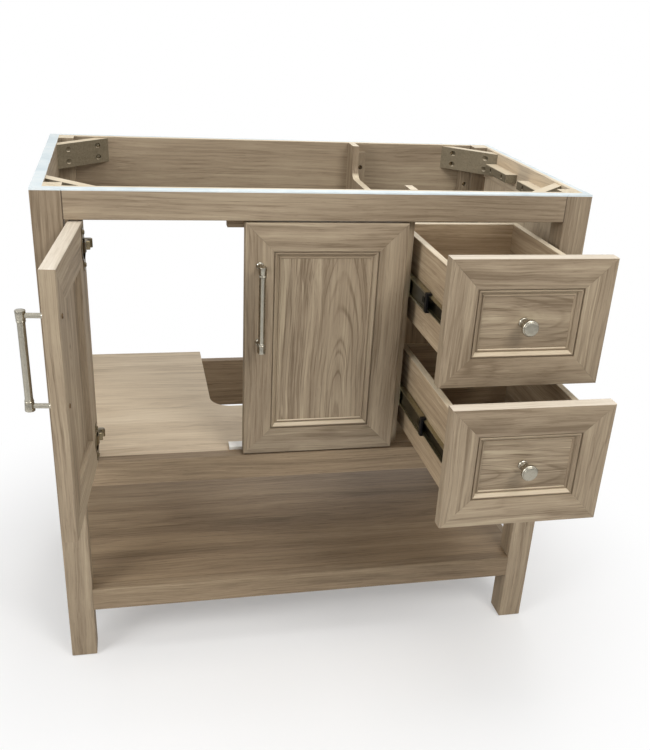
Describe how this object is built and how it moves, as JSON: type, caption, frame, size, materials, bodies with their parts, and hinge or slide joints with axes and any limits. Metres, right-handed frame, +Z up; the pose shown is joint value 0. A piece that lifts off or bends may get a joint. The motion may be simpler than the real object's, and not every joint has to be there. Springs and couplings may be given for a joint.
{
  "type": "bathroom vanity base",
  "caption": "Free-standing vanity base for a countertop: frame on square legs, open lower shelf, hinged doors with bar pulls, drawers on slides beside them, cut-out for pipes.",
  "frame": {"origin": "middle of the footprint of the four legs, on the floor", "axes": "+X to the right of someone facing the doors, +Y from the front to the back, +Z up"},
  "size_m": [0.924, 0.8165, 0.883],
  "materials": {
    "painted_wood": "greige stain over visible grain, satin",
    "panel_wood": "greige stain over visible grain, satin",
    "cabinet_board": "pale greige wood-grain board, matt",
    "drawer_board": "grey wood-grain board, matt",
    "raw_wood": "bare light wood, planed",
    "brace_wood": "khaki-grey stain, rough edges",
    "nickel": "satin nickel",
    "zinc": "grey zinc plate",
    "black_plastic": "matt",
    "white_plastic": "matt"
  },
  "bodies": {
    "cabinet": {"front_left_leg": "painted_wood", "front_right_leg": "painted_wood", "rear_left_leg": "painted_wood", "rear_right_leg": "painted_wood", "left_side_rails": "painted_wood", "right_side_rails": "painted_wood", "side_panels": "panel_wood", "drawer_back_panel": "panel_wood", "front_top_rail": "painted_wood", "front_middle_rail": "painted_wood", "back_top_rail": "painted_wood", "back_middle_rail": "painted_wood", "cabinet_floor": "cabinet_board", "partition": "cabinet_board", "lower_shelf": "painted_wood", "shelf_front_rail": "painted_wood", "shelf_back_rail": "painted_wood", "shelf_side_rails": "painted_wood", "front_corner_braces": "brace_wood", "rear_corner_braces": "brace_wood", "right_side_blocks": "raw_wood", "rear_battens": "painted_wood", "slide_spacers": "painted_wood", "door_stop_block": "raw_wood", "door_bumper": "white_plastic", "wood_screws": "nickel", "hinge_arms": "nickel", "cabinet_slide_members": "zinc"},
    "left_door": {"left_door_frame": "painted_wood", "left_door_moulding": "painted_wood", "left_door_panel": "panel_wood", "left_door_pull": "nickel", "left_door_pull_screws": "nickel", "left_door_hinge_cups": "nickel"},
    "right_door": {"right_door_frame": "painted_wood", "right_door_moulding": "painted_wood", "right_door_panel": "panel_wood", "right_door_pull": "nickel", "right_door_pull_screws": "nickel", "right_door_hinge_cups": "nickel"},
    "top_drawer": {"top_drawer_frame": "painted_wood", "top_drawer_moulding": "painted_wood", "top_drawer_panel": "panel_wood", "top_drawer_sides": "drawer_board", "top_drawer_ends": "drawer_board", "top_drawer_bottom": "drawer_board", "top_drawer_knob": "nickel", "top_drawer_slide_members": "zinc"},
    "bottom_drawer": {"bottom_drawer_frame": "painted_wood", "bottom_drawer_moulding": "painted_wood", "bottom_drawer_panel": "panel_wood", "bottom_drawer_sides": "drawer_board", "bottom_drawer_ends": "drawer_board", "bottom_drawer_bottom": "drawer_board", "bottom_drawer_knob": "nickel", "bottom_drawer_slide_members": "zinc"},
    "top_middle_slides": {"top_middle_slides": "zinc", "top_slide_guides": "black_plastic"},
    "bottom_middle_slides": {"bottom_middle_slides": "zinc", "bottom_slide_guides": "black_plastic"}
  },
  "joints": [
    {"name": "left_door_hinge", "type": "hinge", "parent": "cabinet", "child": "left_door", "pos_m": [-0.3973, -0.246, 0.6265], "axis": [0, 0, -1], "range_deg": [-95.5, 14.5]},
    {"name": "right_door_hinge", "type": "hinge", "parent": "cabinet", "child": "right_door", "pos_m": [0.1273, -0.246, 0.6265], "axis": [0, 0, 1], "range_deg": [0, 80]},
    {"name": "top_drawer_slide", "type": "slide", "parent": "cabinet", "child": "top_drawer", "axis": [0, -1, 0], "range_m": [-0.21, 0.135]},
    {"name": "top_middle_slide", "type": "slide", "parent": "cabinet", "child": "top_middle_slides", "axis": [0, -1, 0], "range_m": [-0.105, 0.0675]},
    {"name": "bottom_drawer_slide", "type": "slide", "parent": "cabinet", "child": "bottom_drawer", "axis": [0, -1, 0], "range_m": [-0.285, 0.06]},
    {"name": "bottom_middle_slide", "type": "slide", "parent": "cabinet", "child": "bottom_middle_slides", "axis": [0, -1, 0], "range_m": [-0.1425, 0.03]}
  ],
  "couplings": [
    {"joint": "top_middle_slide", "follows": "top_drawer_slide", "ratio": 0.5},
    {"joint": "bottom_middle_slide", "follows": "bottom_drawer_slide", "ratio": 0.5}
  ]
}
